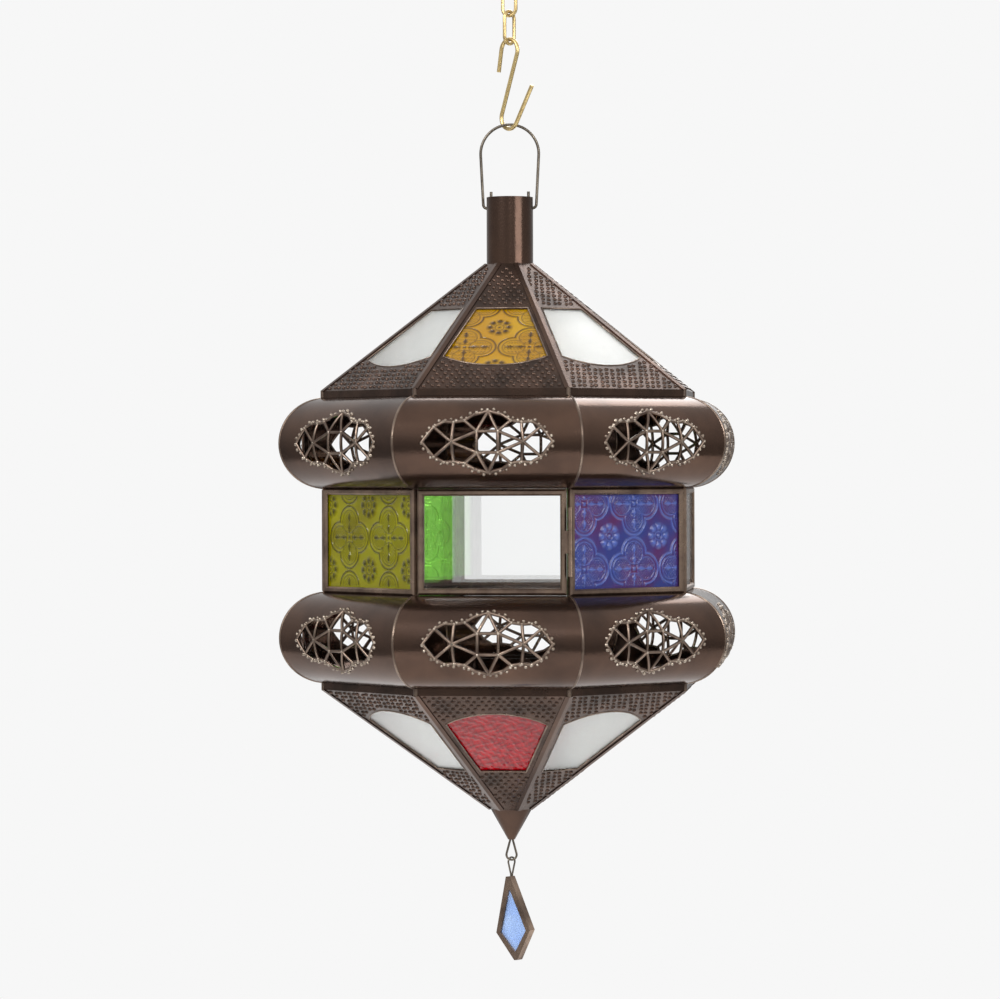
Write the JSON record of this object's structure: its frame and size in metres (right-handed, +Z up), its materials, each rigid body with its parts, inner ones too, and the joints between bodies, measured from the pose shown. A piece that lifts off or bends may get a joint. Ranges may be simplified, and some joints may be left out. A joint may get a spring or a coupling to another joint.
{
  "type": "hanging candle lantern",
  "caption": "Eight-sided hanging candle lantern of dark tin sheet with coloured glass, pierced half-round bands, a hinged glass door, wire bail, hook and pendant.",
  "frame": {"origin": "inside of the upper chain link's top bend, where it is held up", "axes": "+Z up, -Y the front with the door, +X to the right seen from the front"},
  "size_m": [0.2436, 0.2436, 0.5429],
  "materials": {
    "bronze_tin": "dark bronze patina, satin",
    "brass_wire": "aged, satin",
    "steel_wire": "dull",
    "amber_glass": "textured, translucent",
    "red_glass": "textured, translucent",
    "yellow_glass": "pressed pattern",
    "green_glass": "pressed pattern",
    "blue_glass": "pressed pattern",
    "clear_glass": "clear",
    "pale_blue_glass": "rippled"
  },
  "bodies": {
    "chain_top": {"chain_link_upper": "brass_wire"},
    "chain_low": {"chain_link_lower": "brass_wire"},
    "hook": {"s_hook": "brass_wire"},
    "bail": {"bail_handle": "steel_wire"},
    "lantern": {"base_hip_strips": "bronze_tin", "base_panel_1": "bronze_tin", "base_panel_2": "bronze_tin", "base_panel_3": "bronze_tin", "base_panel_4": "bronze_tin", "base_panel_5": "bronze_tin", "base_panel_6": "bronze_tin", "base_panel_7": "bronze_tin", "base_panel_8": "bronze_tin", "base_red_panes": "red_glass", "candle_holder": "bronze_tin", "chimney_tube": "bronze_tin", "door_hinge_pin": "steel_wire", "finial_cone": "bronze_tin", "finial_eye": "steel_wire", "frame_hinge_ears": "bronze_tin", "lower_bulge_1": "bronze_tin", "lower_bulge_2": "bronze_tin", "lower_bulge_3": "bronze_tin", "lower_bulge_4": "bronze_tin", "lower_bulge_5": "bronze_tin", "lower_bulge_6": "bronze_tin", "lower_bulge_7": "bronze_tin", "lower_bulge_8": "bronze_tin", "roof_amber_panes": "amber_glass", "roof_hip_strips": "bronze_tin", "roof_panel_1": "bronze_tin", "roof_panel_2": "bronze_tin", "roof_panel_3": "bronze_tin", "roof_panel_4": "bronze_tin", "roof_panel_5": "bronze_tin", "roof_panel_6": "bronze_tin", "roof_panel_7": "bronze_tin", "roof_panel_8": "bronze_tin", "slope_clear_panes": "clear_glass", "upper_bulge_1": "bronze_tin", "upper_bulge_2": "bronze_tin", "upper_bulge_3": "bronze_tin", "upper_bulge_4": "bronze_tin", "upper_bulge_5": "bronze_tin", "upper_bulge_6": "bronze_tin", "upper_bulge_7": "bronze_tin", "upper_bulge_8": "bronze_tin", "window_blue_pane": "blue_glass", "window_clear_panes": "clear_glass", "window_frames": "bronze_tin", "window_green_pane": "green_glass", "window_red_pane": "red_glass", "window_yellow_pane": "yellow_glass"},
    "door": {"door_frame": "bronze_tin", "door_pane": "clear_glass", "door_hinge_ear": "bronze_tin"},
    "pendant": {"pendant_loop": "steel_wire", "pendant_frame": "bronze_tin", "pendant_glass": "pale_blue_glass"}
  },
  "joints": [
    {"name": "link_swing", "type": "hinge", "parent": "chain_top", "child": "chain_low", "pos_m": [0, 0, -0.017], "axis": [0.9397, -0.342, 0], "range_deg": [-50, 50]},
    {"name": "hook_swing", "type": "hinge", "parent": "chain_low", "child": "hook", "pos_m": [0, 0, -0.0326], "axis": [0.5736, 0.8192, 0], "range_deg": [-50, 50]},
    {"name": "bail_swing", "type": "hinge", "parent": "hook", "child": "bail", "pos_m": [0, 0, -0.07975], "axis": [0.766, -0.6428, 0], "range_deg": [-35, 35]},
    {"name": "lantern_tilt", "type": "hinge", "parent": "bail", "child": "lantern", "pos_m": [0, 0, -0.1238], "axis": [1, 0, 0], "range_deg": [-30, 30]},
    {"name": "door_swing", "type": "hinge", "parent": "lantern", "child": "door", "pos_m": [0.04203, -0.10148, -0.3073], "axis": [0, 0, 1], "range_deg": [0, 110]},
    {"name": "pendant_swing", "type": "hinge", "parent": "lantern", "child": "pendant", "pos_m": [0, 0, -0.4856], "axis": [1, 0, 0], "range_deg": [-45, 45]}
  ]
}
